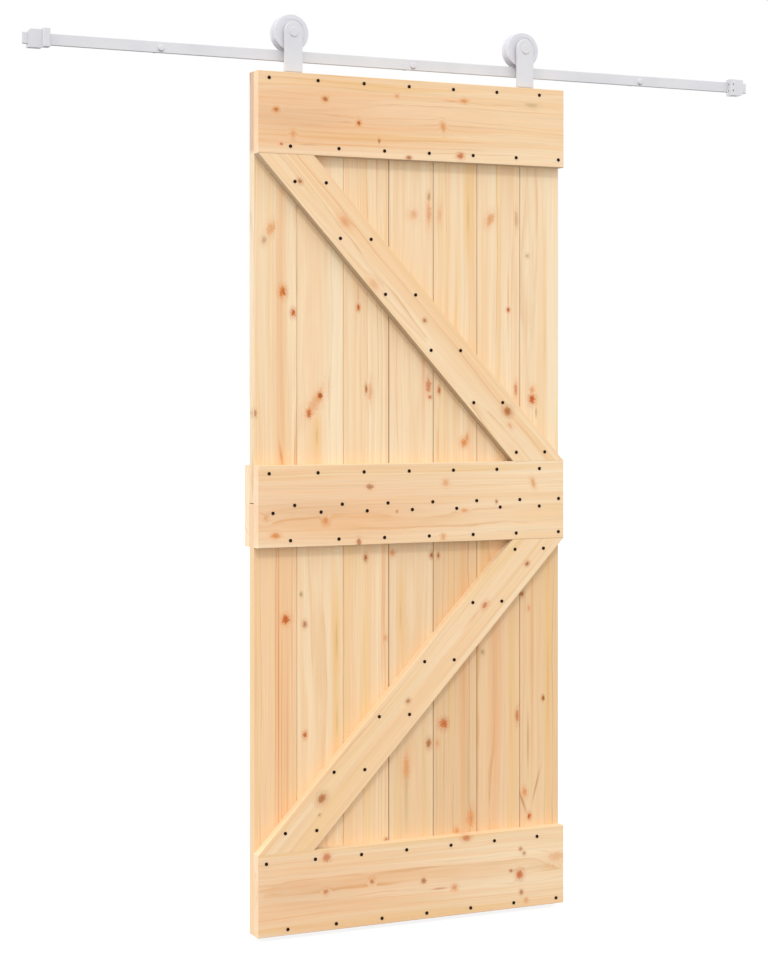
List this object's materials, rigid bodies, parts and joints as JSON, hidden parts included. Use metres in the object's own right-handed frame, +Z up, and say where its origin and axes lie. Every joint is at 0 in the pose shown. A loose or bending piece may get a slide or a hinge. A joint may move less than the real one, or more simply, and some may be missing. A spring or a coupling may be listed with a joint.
{
  "type": "sliding door",
  "caption": "Plank door with ledges and braces that slides along a flat wall track on two strap hangers with grooved wheels, between clamped end stops.",
  "frame": {"origin": "centre of the middle spacer's wall face, on its bolt's axis", "axes": "+X to the right seen from the front, +Y into the wall, +Z up"},
  "size_m": [2.017, 0.105, 2.2466],
  "materials": {
    "pine_boards": "bare planed pine with knots",
    "pine_ledges": "bare planed pine with knots",
    "pine_braces": "bare planed pine with knots",
    "white_steel": "satin white powder coat",
    "white_fixings": "satin white powder coat",
    "white_nylon": "moulded white nylon"
  },
  "bodies": {
    "track": {"track_bar": "white_steel", "track_spacer_1": "white_steel", "track_spacer_2": "white_steel", "track_spacer_3": "white_steel", "track_spacer_4": "white_steel", "track_spacer_5": "white_steel", "wall_bolt_1": "white_fixings", "wall_bolt_2": "white_fixings", "wall_bolt_3": "white_fixings", "wall_bolt_4": "white_fixings", "wall_bolt_5": "white_fixings", "left_end_stop": "white_steel", "right_end_stop": "white_steel"},
    "door": {"upper_board_1": "pine_boards", "upper_board_2": "pine_boards", "upper_board_3": "pine_boards", "upper_board_4": "pine_boards", "upper_board_5": "pine_boards", "upper_board_6": "pine_boards", "upper_board_7": "pine_boards", "lower_board_1": "pine_boards", "lower_board_2": "pine_boards", "lower_board_3": "pine_boards", "lower_board_4": "pine_boards", "lower_board_5": "pine_boards", "lower_board_6": "pine_boards", "lower_board_7": "pine_boards", "top_ledge": "pine_ledges", "middle_ledge": "pine_ledges", "bottom_ledge": "pine_ledges", "back_ledge": "pine_ledges", "upper_brace": "pine_braces", "lower_brace": "pine_braces", "left_hanger_strap": "white_steel", "right_hanger_strap": "white_steel", "left_axle_bolt": "white_fixings", "right_axle_bolt": "white_fixings"},
    "left_roller": {"left_wheel": "white_nylon"},
    "right_roller": {"right_wheel": "white_nylon"}
  },
  "joints": [
    {"name": "door_slide", "type": "slide", "parent": "track", "child": "door", "axis": [1, 0, 0], "range_m": [-0.56, 0.587]},
    {"name": "left_wheel_roll", "type": "hinge", "parent": "door", "child": "left_roller", "pos_m": [-0.3365, -0.045, 0.0581], "axis": [0, 1, 0], "continuous": true},
    {"name": "right_wheel_roll", "type": "hinge", "parent": "door", "child": "right_roller", "pos_m": [0.3095, -0.045, 0.0581], "axis": [0, 1, 0], "continuous": true}
  ],
  "couplings": [
    {"joint": "left_wheel_roll", "follows": "door_slide", "rad_per_m": 23.92},
    {"joint": "right_wheel_roll", "follows": "door_slide", "rad_per_m": 23.92}
  ]
}
